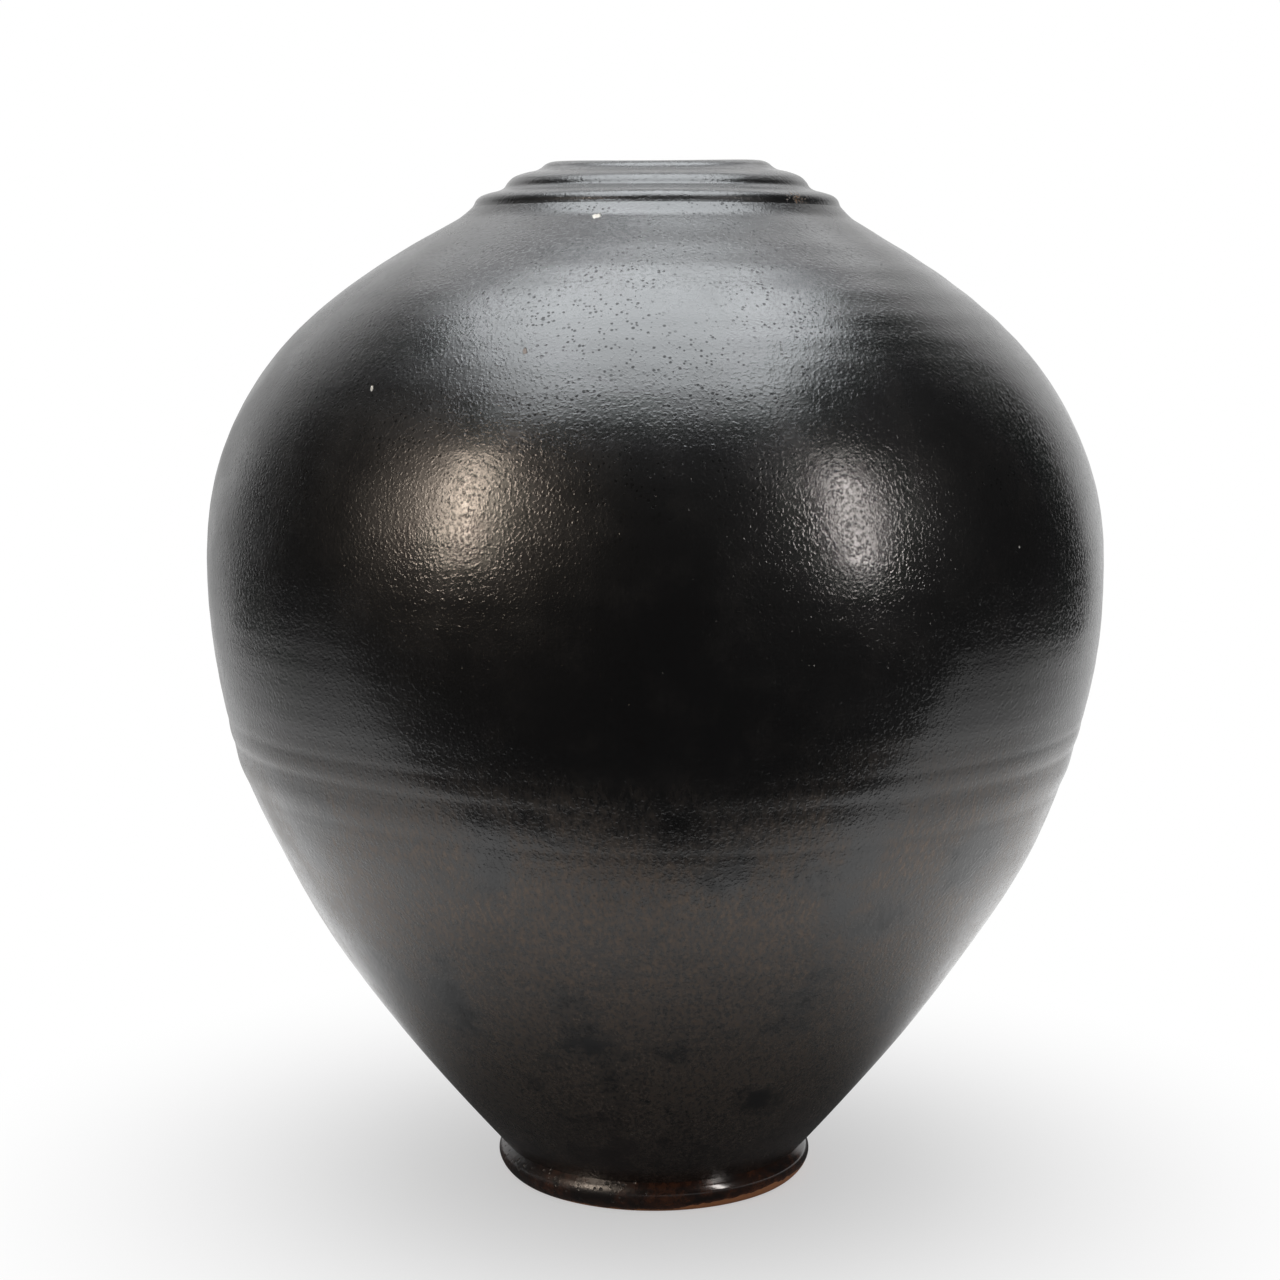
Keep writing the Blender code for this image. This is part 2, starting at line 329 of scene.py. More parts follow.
@dataclass
class Turning:
    """One piece turned from a closed outline.

    Args:
        name: Name of the piece.
        stretches: The outline's stretches in order, each with its skin.
        segments: Facets around the axis.
        form: Sizes of the jar.
        hand: The potter's unevenness.
    """

    name: str
    stretches: list[tuple[Skin, Outline]]
    segments: int
    form: JarForm
    hand: PotterHand

    def rows(self) -> tuple[Outline, list[Skin], list[Skin], set[int]]:
        """Join the stretches into rows of points.

        Returns:
            The rows, the skin of each row, the skin of the faces above each row, and the corner rows.
        """
        points: list[np.ndarray] = []
        skins: list[Skin] = []
        faces: list[Skin] = []
        corners: set[int] = set()
        for skin, path in self.stretches:
            start = 0
            if points and np.allclose(points[-1], path[0], atol=1e-7):
                start = 1
                corners.add(len(points) - 1)
                if skin is Skin.OUTSIDE:
                    skins[-1] = skin
                faces[-1] = skin
            for point in path[start:]:
                points.append(point)
                skins.append(skin)
                faces.append(skin)
        return np.array(points), skins, faces, corners

    def place(self, rows: Outline, skins: list[Skin]) -> np.ndarray:
        """Turn the rows about the axis and add the potter's unevenness.

        Args:
            rows: Radius and height of each row.
            skins: Skin of each row.

        Returns:
            Every vertex, row by row.
        """
        turn = np.arange(self.segments) * TURN / self.segments
        angle = np.tile(turn, len(rows))
        radius = np.repeat(rows[:, 0], self.segments)
        z = np.repeat(rows[:, 1], self.segments)
        kind = np.repeat([skin.value for skin in skins], self.segments)
        even = np.column_stack((radius * np.cos(angle), radius * np.sin(angle), z))
        offset = self.hand.lumps(even) * ease(radius, 0.0, 0.06)
        offset += np.where(kind == Skin.OUTSIDE.value, self.hand.outside(angle, z, self.form), 0.0)
        offset += np.where(kind == Skin.INSIDE.value, self.hand.inside(angle, z, self.form), 0.0)
        radius = radius + offset
        return np.column_stack((radius * np.cos(angle) + self.hand.shift(z), radius * np.sin(angle),
                                z + self.hand.lift(angle, z, self.form)))

    def build(self, materials: dict[Skin, bpy.types.Material]) -> bpy.types.Object:
        """Make the mesh with its bake map and its materials.

        Args:
            materials: Material of each skin.

        Returns:
            The new piece, linked to the scene.
        """
        rows, skins, faces, corners = self.rows()
        ends = [index for index in (0, len(rows) - 1) if rows[index, 0] < 1e-9]
        vertices = self.place(rows, skins)
        count, segments = len(rows), self.segments
        run = np.concatenate(([0.0], np.cumsum(np.linalg.norm(np.diff(rows, axis=0), axis=1))))
        closed = not ends
        total = run[-1] + (np.linalg.norm(rows[-1] - rows[0]) if closed else 0.0)
        level = np.append(run, total) / total
        order = list(Skin)
        quads, uvs, slots = [], [], []
        step = np.arange(segments)
        after = (step + 1) % segments
        left, right = step / segments, (step + 1) / segments
        for row in range(count if closed else count - 1):
            above = (row + 1) % count
            low, high = row * segments, above * segments
            quads.append(np.column_stack((low + step, low + after, high + after, high + step)))
            v0, v1 = np.full(segments, level[row]), np.full(segments, level[row + 1])
            uvs.append(np.column_stack((left, v0, right, v0, right, v1, left, v1)))
            slots.append(np.full(segments, order.index(faces[row])))
        quads, slots = np.vstack(quads), np.concatenate(slots)
        uvs = np.vstack(uvs).reshape(-1, 2)
        mesh = bpy.data.meshes.new(self.name)
        mesh.from_pydata(vertices, [], quads)
        mesh.uv_layers.new(name="OFBake").data.foreach_set("uv", uvs.ravel())
        mesh.polygons.foreach_set("material_index", slots)
        for skin in order:
            mesh.materials.append(materials.get(skin, materials[Skin.OUTSIDE]))
        self.sharpen(mesh, corners, closed)
        if ends:
            self.close_poles(mesh)
        mesh.shade_smooth()
        mesh.validate()
        piece = bpy.data.objects.new(self.name, mesh)
        bpy.context.scene.collection.objects.link(piece)
        return piece

    def sharpen(self, mesh: bpy.types.Mesh, corners: set[int], closed: bool) -> None:
        """Keep the edges sharp along the corner rows."""
        pairs = np.empty(len(mesh.edges) * 2, dtype=np.int32)
        mesh.edges.foreach_get("vertices", pairs)
        rows = pairs.reshape(-1, 2) // self.segments
        marked = corners | ({0} if closed else set())
        sharp = (rows[:, 0] == rows[:, 1]) & np.isin(rows[:, 0], list(marked))
        mesh.attributes.new("sharp_edge", "BOOLEAN", "EDGE").data.foreach_set("value", sharp)

    @staticmethod
    def close_poles(mesh: bpy.types.Mesh) -> None:
        """Weld the rings of vertices that lie on the axis into one vertex each."""
        body = bmesh.new()
        body.from_mesh(mesh)
        near = [vertex for vertex in body.verts if math.hypot(vertex.co.x, vertex.co.y) < POLE_REACH]
        bmesh.ops.remove_doubles(body, verts=near, dist=WELD)
        body.to_mesh(mesh)
        body.free()


# ---------------------------------------------------------------------------------------------------
# Shader work
# ---------------------------------------------------------------------------------------------------

class Wiring:
    """Places and joins nodes in one node tree."""

    def __init__(self, tree: bpy.types.NodeTree) -> None:
        """Start from an empty tree."""
        self.tree = tree
        tree.nodes.clear()

    def feed(self, socket: Socket, value: object) -> None:
        """Join a socket to another one, or give it a value."""
        if isinstance(value, bpy.types.NodeSocket):
            self.tree.links.new(value, socket)
        elif isinstance(value, tuple) and socket.type == "RGBA":
            socket.default_value = (*value, 1.0)
        else:
            socket.default_value = value

    def put(self, kind: str, settings: dict | None = None, inputs: dict | None = None) -> bpy.types.Node:
        """Place one node.

        Args:
            kind: Blender's name of the node type.
            settings: Properties to set on it.
            inputs: Values or sockets for its inputs, by name or number.

        Returns:
            The node.
        """
        node = self.tree.nodes.new(kind)
        for key, value in (settings or {}).items():
            setattr(node, key, value)
        for key, value in (inputs or {}).items():
            self.feed(node.inputs[key], value)
        return node

    def sum(self, operation: str, *values: object) -> Socket:
        """Result of a Math node."""
        return self.put("ShaderNodeMath", {"operation": operation}, dict(enumerate(values))).outputs[0]

    def plus(self, first: object, second: object) -> Socket:
        """Two values added."""
        return self.sum("ADD", first, second)

    def minus(self, first: object, second: object) -> Socket:
        """The first value less the second."""
        return self.sum("SUBTRACT", first, second)

    def times(self, first: object, second: object) -> Socket:
        """Two values multiplied."""
        return self.sum("MULTIPLY", first, second)

    def over(self, first: object, second: object) -> Socket:
        """The first value divided by the second."""
        return self.sum("DIVIDE", first, second)

    def larger(self, first: object, second: object) -> Socket:
        """The larger of two values."""
        return self.sum("MAXIMUM", first, second)

    def onto(self, base: object, value: object, share: object) -> Socket:
        """A base value plus a share of another value."""
        return self.sum("MULTIPLY_ADD", value, share, base)

    def ramp(self, value: object, low: object, high: object, out_low: object = 0.0,
             out_high: object = 1.0) -> Socket:
        """Smooth step of a value from one range to another."""
        return self.put("ShaderNodeMapRange", {"interpolation_type": "SMOOTHSTEP"},
                        {"Value": value, "From Min": low, "From Max": high,
                         "To Min": out_low, "To Max": out_high}).outputs["Result"]

    def blend(self, mask: object, first: object, second: object) -> Socket:
        """Mix of two colours by a mask."""
        return self.put("ShaderNodeMix", {"data_type": "RGBA"}, {0: mask, 6: first, 7: second}).outputs[2]

    def between(self, mask: object, first: object, second: object) -> Socket:
        """Mix of two values by a mask."""
        return self.put("ShaderNodeMix", {"data_type": "FLOAT"}, {0: mask, 2: first, 3: second}).outputs[0]

    def noise(self, vector: object, scale: object, detail: float = 2.0, roughness: float = 0.5) -> Socket:
        """Value of a noise texture."""
        return self.put("ShaderNodeTexNoise", None, {"Vector": vector, "Scale": scale, "Detail": detail,
                                                     "Roughness": roughness}).outputs["Fac"]

    def vector(self, operation: str, *values: object) -> bpy.types.Node:
        """A Vector Math node."""
        return self.put("ShaderNodeVectorMath", {"operation": operation}, dict(enumerate(values)))

    def squeeze(self, vector: object, factors: object) -> Socket:
        """A vector multiplied axis by axis."""
        return self.vector("MULTIPLY", vector, factors).outputs[0]

    def length(self, vector: object) -> Socket:
        """Length of a vector."""
        return self.vector("LENGTH", vector).outputs["Value"]

    def axes(self, vector: object) -> tuple[Socket, Socket, Socket]:
        """The three parts of a vector."""
        return tuple(self.put("ShaderNodeSeparateXYZ", None, {0: vector}).outputs)


@dataclass(frozen=True)
class Recipe:
    """A shader node group that several finishes share.

    Args:
        name: Name of the group.
        inputs: Name, socket type and default of each input.
        outputs: Names of the outputs, which are all single values.
    """

    name: str
    inputs: tuple[tuple[str, str, object], ...]
    outputs: tuple[str, ...]

    def tree(self) -> bpy.types.NodeTree:
        """The group, made on first use."""
        known = bpy.data.node_groups.get(self.name)
        if known:
            return known
        group = bpy.data.node_groups.new(self.name, "ShaderNodeTree")
        for name, kind, default in self.inputs:
            socket = group.interface.new_socket(name, in_out="INPUT", socket_type=kind)
            if kind == FLOAT:
                socket.default_value = default
        for name in self.outputs:
            group.interface.new_socket(name, in_out="OUTPUT", socket_type=FLOAT)
        net = Wiring(group)
        entry = net.put("NodeGroupInput")
        leave = net.put("NodeGroupOutput")
        for name, socket in self.cook(net, entry.outputs).items():
            net.feed(leave.inputs[name], socket)
        return group

    def cook(self, net: Wiring, given: object) -> dict[str, Socket]:
        """Wire the inside of the group.

        Args:
            net: The group's tree.
            given: The sockets of its inputs.

        Returns:
            What each output takes.
        """
        raise NotImplementedError

    def use(self, net: Wiring, vector: Socket, **values: object) -> dict[str, Socket]:
        """Place the group in a material.

        Args:
            net: The material's tree.
            vector: Coordinates that it works in.
            values: Values of its other inputs, with underscores for spaces.

        Returns:
            Its outputs by name.
        """
        node = net.put("ShaderNodeGroup", {"node_tree": self.tree()}, {"Vector": vector})
        for key, value in values.items():
            net.feed(node.inputs[key.replace("_", " ").title()], value)
        return {name: node.outputs[name] for name in self.outputs}


@dataclass(frozen=True)
class PittedPeel(Recipe):
    """Fine uneven surface of a thick glaze, with burst pinholes."""

    name: str = "pitted glaze peel"
    inputs: tuple = (("Vector", VECTOR, None), ("Pit Spacing", FLOAT, 0.0032), ("Pit Size", FLOAT, 0.22),
                     ("Pit Depth", FLOAT, 0.00012), ("Peel Size", FLOAT, 0.0022),
                     ("Peel Depth", FLOAT, 0.00006))
    outputs: tuple = ("Height", "Pits")
    bend_scale: float = 210.0
    bend: float = 0.12
    pit_sizes: tuple[float, float] = (0.30, 1.30)
    pit_floor: float = 0.45
    grain_edges: tuple[float, float] = (0.45, 0.74)

    def cook(self, net: Wiring, given: object) -> dict[str, Socket]:
        """Voronoi pinholes of uneven size among separate grains."""
        place = given["Vector"]
        cells = net.put("ShaderNodeTexVoronoi", {"feature": "F1"},
                        {"Vector": place, "Randomness": 1.0, "Scale": net.over(1.0, given["Pit Spacing"])})
        dice = net.put("ShaderNodeSeparateColor", None, {0: cells.outputs["Color"]}).outputs[0]
        edge = net.times(given["Pit Size"], net.ramp(dice, 0.0, 1.0, *self.pit_sizes))
        centred = net.minus(cells.outputs["Distance"], self.bend / 2)
        ragged = net.onto(centred, net.noise(place, self.bend_scale, 1.0), self.bend)
        pits = net.ramp(ragged, net.times(edge, self.pit_floor), edge, 1.0, 0.0)
        grains = net.ramp(net.noise(place, net.over(1.0, given["Peel Size"]), 2.0, 0.55), *self.grain_edges)
        height = net.minus(net.times(grains, given["Peel Depth"]), net.times(pits, given["Pit Depth"]))
        return {"Height": height, "Pits": pits}


@dataclass(frozen=True)
class IronClouds(Recipe):
    """Patches where iron crystals dull the glaze, drawn out down the wall where it ran."""

    name: str = "iron clouds"
    inputs: tuple = (("Vector", VECTOR, None), ("Patch Size", FLOAT, 0.035), ("Run Length", FLOAT, 3.0),
                     ("Cover", FLOAT, 0.5), ("Grain Size", FLOAT, 0.004))
    outputs: tuple = ("Mask", "Streaks")
    patch_edges: tuple[float, float] = (0.07, 0.11)
    streak_edges: tuple[float, float] = (0.22, 0.78)

    def cook(self, net: Wiring, given: object) -> dict[str, Socket]:
        """Large patches, broken up by fine streaks."""
        place = given["Vector"]
        drawn = net.put("ShaderNodeCombineXYZ", None, {0: 1.0, 1: 1.0, 2: net.over(1.0, given["Run Length"])})
        along = net.squeeze(place, drawn.outputs[0])
        large = net.noise(place, net.over(1.0, given["Patch Size"]), 4.0, 0.62)
        fine = net.noise(along, net.over(1.0, given["Grain Size"]), 3.0, 0.65)
        level = net.minus(1.0, given["Cover"])
        below, above = self.patch_edges
        patch = net.ramp(large, net.minus(level, below), net.plus(level, above))
        streaks = net.ramp(fine, *self.streak_edges)
        return {"Mask": net.times(patch, streaks), "Streaks": streaks}


@dataclass(frozen=True)
class SmallMark(Recipe):
    """One small mark at a fixed place, such as a chip, drawn out along a direction."""

    name: str = "small mark"
    inputs: tuple = (("Vector", VECTOR, None), ("Centre", VECTOR, None), ("Stretch", VECTOR, None),
                     ("Radius", FLOAT, 0.001), ("Ragged", FLOAT, 0.0014))
    outputs: tuple = ("Mask",)
    edge_scale: float = 900.0
    core: float = 0.8

    def cook(self, net: Wiring, given: object) -> dict[str, Socket]:
        """A ragged spot around the centre."""
        away = net.vector("SUBTRACT", given["Vector"], given["Centre"]).outputs[0]
        length = net.length(net.squeeze(away, given["Stretch"]))
        ragged = net.onto(length, net.noise(given["Vector"], self.edge_scale, 3.0, 0.6), given["Ragged"])
        edge = net.onto(given["Radius"], given["Ragged"], 0.5)
        return {"Mask": net.ramp(ragged, net.times(edge, self.core), edge, 1.0, 0.0)}


@dataclass(frozen=True)
class ClayGrain(Recipe):
    """Sandy surface of bare stoneware with turning lines around it."""

    name: str = "clay grain"
    inputs: tuple = (("Vector", VECTOR, None), ("Grain Size", FLOAT, 0.0008), ("Grain Depth", FLOAT, 0.00008),
                     ("Line Depth", FLOAT, 0.00006))
    outputs: tuple = ("Height", "Specks")
    line_scale: float = 900.0
    speck_edges: tuple[float, float] = (0.58, 0.70)

    def cook(self, net: Wiring, given: object) -> dict[str, Socket]:
        """Grit, and lines left by the turning tool."""
        place = given["Vector"]
        grit = net.noise(place, net.over(1.0, given["Grain Size"]), 3.0, 0.7)
        across = net.plus(net.length(net.squeeze(place, FLAT)), net.axes(place)[2])
        lines = net.noise(net.put("ShaderNodeCombineXYZ", None, {0: across}).outputs[0], self.line_scale, 2.0)
        height = net.plus(net.times(grit, given["Grain Depth"]), net.times(lines, given["Line Depth"]))
        return {"Height": height, "Specks": net.ramp(grit, *self.speck_edges)}


PEEL, CLOUDS, MARK, GRAIN = PittedPeel(), IronClouds(), SmallMark(), ClayGrain()


@dataclass(frozen=True)
class Blemish:
    """A small mark in the glaze: its place, size, colour, stretch and unevenness."""

    centre: tuple[float, float, float]
    radius: float
    colour: Colour
    stretch: tuple[float, float, float] = (1.0, 1.0, 1.0)
    ragged: float = 0.0014


class Finish:
    """A material under construction: its wiring, its shader and its coordinates."""

    def __init__(self, name: str) -> None:
        """Start a material of this name with an empty shader."""
        self.material = bpy.data.materials.new(name)
        self.material.use_nodes = True
        self.net = Wiring(self.material.node_tree)
        self.shader = self.net.put("ShaderNodeBsdfPrincipled")
        out = self.net.put("ShaderNodeOutputMaterial")
        self.net.feed(out.inputs["Surface"], self.shader.outputs["BSDF"])
        self.place = self.net.put("ShaderNodeTexCoord").outputs["Object"]

    def close(self, height: Socket, **values: object) -> bpy.types.Material:
        """Feed the shader.

        Args:
            height: Relief in metres.
            values: The shader's other inputs, with underscores for spaces.

        Returns:
            The finished material.
        """
        bump = self.net.put("ShaderNodeBump", None, {"Strength": 1.0, "Distance": 1.0, "Height": height})
        self.net.feed(self.shader.inputs["Normal"], bump.outputs[0])
        for key, value in values.items():
            label = "IOR" if key == "ior" else key.replace("_", " ").title()
            self.net.feed(self.shader.inputs[label], value)
        return self.material


@dataclass(frozen=True)
class IronGlaze:
    """Thick black iron glaze, glassy and pinholed, breaking to brown where crystals formed.

    Args:
        name: Name of the material.
        black: Colour of the clear glaze.
        brown: Colour of the glaze where it runs thin above the foot.
        rust: Colour of the warmest crystals.
        bronze: Colour of the dullest crystals.
        gloss: Roughness of the clearest glaze.
        uneven: How much the roughness wanders.
        dull: Roughness where crystals cover the glaze.
        cover: Share of the wall that crystals cover.
        pit_depth: Depth of the pinholes.
        peel_depth: Height of the grains.
        haze: Weight of the rougher coat that spreads a faint halo round the mirrored lamps.
        haze_roughness: Roughness of that coat.
        pinhole_row: Height at which pinholes gather in a row, or nought.
        blemishes: Small marks at fixed places.
        mark_depth: Depth of those marks.
        mark_roughness: How much rougher those marks are.
    """

    name: str
    black: Colour = (0.0022, 0.0020, 0.0022)
    brown: Colour = (0.0105, 0.0058, 0.0045)
    rust: Colour = (0.108, 0.080, 0.061)
    bronze: Colour = (0.078, 0.066, 0.057)
    gloss: float = 0.12
    uneven: float = 0.10
    dull: float = 0.36
    cover: float = 0.58
    pit_depth: float = 0.00004
    peel_depth: float = 0.000055
    haze: float = 0.22
    haze_roughness: float = 0.42
    pinhole_row: float = 0.0
    blemishes: tuple[Blemish, ...] = ()
    mark_depth: float = 0.0002
    mark_roughness: float = 0.25

    @staticmethod
    def zones(net: Wiring, place: Socket, x: Socket, z: Socket) -> dict[str, Socket]:
        """Masks of the parts of the jar where the glaze differs, with wandering edges.

        Args:
            net: The material's tree.
            place: Coordinates on the jar.
            x: Their sideways part.
            z: Their height.

        Returns:
            Below the waist, thin above the foot, high on the wall, the right side, and the sandy left side.
        """
        wander = net.noise(place, 9.0, 2.0)
        west = net.ramp(net.onto(x, wander, 0.10), 0.0, -0.17)
        return {"low": net.ramp(net.onto(z, wander, 0.07), 0.238, 0.190),
                "thin": net.ramp(net.onto(z, wander, 0.03), 0.085, 0.025),
                "high": net.ramp(z, 0.19, 0.33),
                "east": net.ramp(net.onto(x, wander, 0.06), 0.06, 0.15),
                "sandy": net.times(west, net.ramp(z, 0.16, 0.30, 0.35, 1.0))}

    def crowding(self, net: Wiring, place: Socket, z: Socket) -> Socket:
        """Where pinholes crowd: in clusters on the shoulder, and in the row if there is one."""
        clusters = net.ramp(net.noise(place, 34.0, 3.0, 0.6), 0.38, 0.56)
        clusters = net.times(clusters, net.ramp(z, 0.26, 0.31, 0.25, 1.0))
        if not self.pinhole_row:
            return clusters
        row = net.ramp(net.sum("ABSOLUTE", net.minus(z, self.pinhole_row), 0.0), 0.0004, 0.0011, 1.0, 0.0)
        row = net.times(row, net.ramp(net.noise(place, 75.0, 2.0), 0.42, 0.52))
        return net.larger(net.times(clusters, 0.4), row)

    def roughness(self, net: Wiring, place: Socket, zones: dict[str, Socket], shown: Socket) -> Socket:
        """Roughness over the jar.

        Args:
            net: The material's tree.
            place: Coordinates on the jar.
            zones: Masks from zones().
            shown: Where crystals show.

        Returns:
            The roughness, before small marks.
        """
        rough = net.ramp(net.noise(place, 26.0, 4.0, 0.6), 0.30, 0.70, self.gloss, self.gloss + self.uneven)
        for zone, extra in (("low", 0.03), ("high", 0.08), ("east", -0.05), ("sandy", 0.12)):
            rough = net.onto(rough, zones[zone], extra)
        return net.onto(rough, shown, self.dull - self.gloss - self.uneven)

    def make(self) -> bpy.types.Material:
        """Make the material."""
        finish = Finish(self.name)
        net, place = finish.net, finish.place
        x, _, z = net.axes(place)
        zones = self.zones(net, place, x, z)
        low, sandy = zones["low"], zones["sandy"]
        fine = PEEL.use(net, place, pit_spacing=0.0018, pit_size=0.34, pit_depth=self.pit_depth,
                        peel_size=0.0013, peel_depth=self.peel_depth)
        sand = PEEL.use(net, place, pit_spacing=0.0015, pit_size=0.42, pit_depth=0.00010,
                        peel_size=0.0010, peel_depth=0.00004)
        pits = net.times(fine["Pits"], net.larger(self.crowding(net, place, z), sandy))
        pits = net.larger(pits, net.times(sand["Pits"], sandy))
        height = net.plus(fine["Height"], net.times(sand["Height"], sandy))

        clouds = CLOUDS.use(net, place, patch_size=0.040, run_length=4.0, cover=self.cover, grain_size=0.0015)
        bloom = CLOUDS.use(net, place, patch_size=0.019, run_length=2.0, cover=0.46, grain_size=0.0014)
        crystals = net.larger(net.times(clouds["Mask"], low),
                              net.times(bloom["Mask"], net.ramp(low, 0.0, 1.0, 0.05, 0.25)))
        crystals = net.times(crystals, net.ramp(z, 0.015, 0.075, 0.25, 1.0))
        shown = net.times(crystals, net.ramp(pits, 0.0, 1.0, 1.0, 0.2))

        smoke = CLOUDS.use(net, place, patch_size=0.028, run_length=7.0, cover=0.50, grain_size=0.0032)
        soot = net.times(net.times(smoke["Mask"], net.times(low, 0.55)), net.minus(1.0, shown))
        # Pinholes are painted black and non-reflecting, as painted shade inside them; the soot patches are
        # the glaze's own dark tone.
        dark = net.larger(pits, soot)

        base = net.blend(zones["thin"], self.black, self.brown)
        colour = net.blend(shown, base, net.blend(clouds["Streaks"], self.bronze, self.rust))
        colour = net.blend(dark, colour, (0.0, 0.0, 0.0))
        rough = self.roughness(net, place, zones, shown)
        for blemish in self.blemishes:
            mark = MARK.use(net, place, centre=blemish.centre, stretch=blemish.stretch,
                            radius=blemish.radius, ragged=blemish.ragged)["Mask"]
            colour = net.blend(mark, colour, blemish.colour)
            rough = net.onto(rough, mark, self.mark_roughness)
            shown = net.times(shown, net.minus(1.0, mark))
            height = net.onto(height, mark, -self.mark_depth)
        # Metallic black in the pinholes stops their reflection: painted shade in the hollows, besides their
        # small dent in the bump.
        metal = net.larger(net.times(shown, 0.85), net.times(dark, 0.8))
        return finish.close(height, base_color=colour, roughness=rough, metallic=metal, ior=GLAZE_IOR,
                            coat_weight=self.haze, coat_roughness=self.haze_roughness)


@dataclass(frozen=True)
class FootGlaze:
    """Thin reddish glaze on the foot, wiped off above the rest so that bare clay shows.

    Args:
        name: Name of the material.
        glaze: Colour of the thin glaze.
        thick: Colour of the glaze where it gathers.
        clay: Colour of the bare clay.
        burnt: Colour of the clay's edge and specks.
    """

    name: str
    glaze: Colour = (0.058, 0.020, 0.009)
    thick: Colour = (0.010, 0.006, 0.005)
    clay: Colour = (0.34, 0.125, 0.038)
    burnt: Colour = (0.10, 0.032, 0.012)

    @staticmethod
    def wiped(net: Wiring, place: Socket, axes: tuple[Socket, Socket, Socket]) -> Socket:
        """Height above the ragged line up to which the glaze was wiped off."""
        x, y, z = axes
        line = net.onto(0.0008, net.ramp(x, -0.010, 0.050), 0.0040)
        line = net.onto(net.minus(line, 0.0023), net.noise(place, 85.0, 3.0, 0.65), 0.0050)
        line = net.onto(line, net.ramp(y, -0.02, 0.05), 0.0012)
        return net.minus(z, line)

    def make(self) -> bpy.types.Material:
        """Make the material."""
        finish = Finish(self.name)
        net, place = finish.net, finish.place
        axes = net.axes(place)
        above = self.wiped(net, place, axes)
        glazed = net.ramp(above, -0.0001, 0.0003)
        lip = net.ramp(above, 0.0, 0.0016, 1.0, 0.0)
        blistered = net.ramp(axes[0], 0.004, -0.014)
        peel = PEEL.use(net, place, pit_spacing=0.0022, pit_size=0.36, pit_depth=0.00022,
                        peel_size=0.0020, peel_depth=0.00005)
        grain = GRAIN.use(net, place, grain_size=0.0009, grain_depth=0.00010, line_depth=0.00006)
        clouds = CLOUDS.use(net, place, patch_size=0.016, run_length=1.0, cover=0.52, grain_size=0.003)
        skin = net.blend(clouds["Mask"], self.thick, self.glaze)
        skin = net.blend(net.times(lip, 0.6), skin, self.burnt)
        body = net.blend(net.times(grain["Specks"], 0.6), self.clay, self.burnt)
        rough_glaze = net.times(glazed, blistered)
        rough = net.onto(net.ramp(glazed, 0.0, 1.0, 0.80, 0.15), rough_glaze, 0.18)
        rough = net.onto(rough, net.times(peel["Pits"], blistered), 0.35)
        height = net.onto(net.times(peel["Height"], rough_glaze), glazed, 0.00035)
        height = net.plus(height, net.times(grain["Height"], net.minus(1.0, glazed)))
        return finish.close(height, base_color=net.blend(glazed, body, skin), roughness=rough, ior=GLAZE_IOR)


@dataclass(frozen=True)
class RawClay:
    """Bare stoneware of the foot's rest, the recess under it and the hidden joints."""

    name: str
    clay: Colour = (0.34, 0.130, 0.042)
    burnt: Colour = (0.13, 0.045, 0.018)

    def make(self) -> bpy.types.Material:
        """Make the material."""
        finish = Finish(self.name)
        net, place = finish.net, finish.place
        grain = GRAIN.use(net, place, grain_size=0.0009, grain_depth=0.00010, line_depth=0.00010)
        cloud = net.noise(place, 60.0, 3.0)
        tone = net.blend(net.ramp(cloud, 0.35, 0.7), self.clay, self.burnt)
        return finish.close(grain["Height"], base_color=net.blend(grain["Specks"], tone, self.burnt),
                            roughness=net.ramp(cloud, 0.3, 0.7, 0.72, 0.88))


# ---------------------------------------------------------------------------------------------------
# The five pieces
# ---------------------------------------------------------------------------------------------------

@dataclass
class ClayPiece:
    """What every piece of the jar shares.

    Args:
        form: Sizes of the jar.
        hand: The potter's unevenness.
        node: CAD node that the piece stands for.
        slot: Material slot of the record; not used.
        name: Name of the piece.
        segments: Facets around the axis.
    """

    form: JarForm
    hand: PotterHand
    node: str = ""
    slot: str = ""
    name: str = ""
    segments: int = 560

    def outline(self) -> list[tuple[Skin, Outline]]:
        """The closed outline in order, each stretch with its skin."""
        raise NotImplementedError

    def finishes(self) -> dict[Skin, bpy.types.Material]:
        """Material of each skin."""
        raise NotImplementedError

    def build(self) -> bpy.types.Object:
        """Returns:
            The piece.
        """
        turning = Turning(self.name, self.outline(), self.segments, self.form, self.hand)
        piece = turning.build(self.finishes())
        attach(piece, ROOT)
        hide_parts(self.node)
        log.info("%s stands for %s: %d faces", self.name, self.node, len(piece.data.polygons))
        return piece


@dataclass
class TurnedFoot(ClayPiece):
    """Foot ring: flat rest, rounded bulge, narrow ledge and straight bore."""

    node: str = "foot_ring"
    slot: str = "foot_glaze"
    name: str = "turned_foot"
    segments: int = 480
    bore: float = 0.0480
    chamfer: float = 0.0020
    profile: tuple[tuple[float, float], ...] = (
        (0.0573, 0.0), (0.0586, 0.0004), (0.0603, 0.0018), (0.0618, 0.0038), (0.0627, 0.0062),
        (0.0626, 0.0084), (0.0618, 0.0102), (0.0609, 0.0113))

    def outline(self) -> list[tuple[Skin, Outline]]:
        """Rest, bulge and ledge outside; joint, bore and chamfer inside."""
        top = self.form.foot_joint
        outside = spread(spline(self.profile + ((self.form.neck_radius, top),)), 0.00045)
        bore = self.bore
        rest = self.profile[0][0]
        hidden = np.array(((self.form.neck_radius, top), (bore, top)))
        inside = np.array(((bore, top), (bore, self.chamfer), (bore + self.chamfer, 0.0)))
        flat = np.array(((bore + self.chamfer, 0.0), (rest, 0.0)))
        return [(Skin.OUTSIDE, outside), (Skin.RAW, spread(hidden, 0.004)),
                (Skin.RAW, spread(inside, 0.0008, 0.0008)), (Skin.RAW, spread(flat, 0.0012))]

    def finishes(self) -> dict[Skin, bpy.types.Material]:
        """Thin glaze outside and bare clay below."""
        return {Skin.OUTSIDE: FootGlaze("thin_foot_glaze").make(),
                Skin.RAW: RawClay("bare_stoneware").make()}


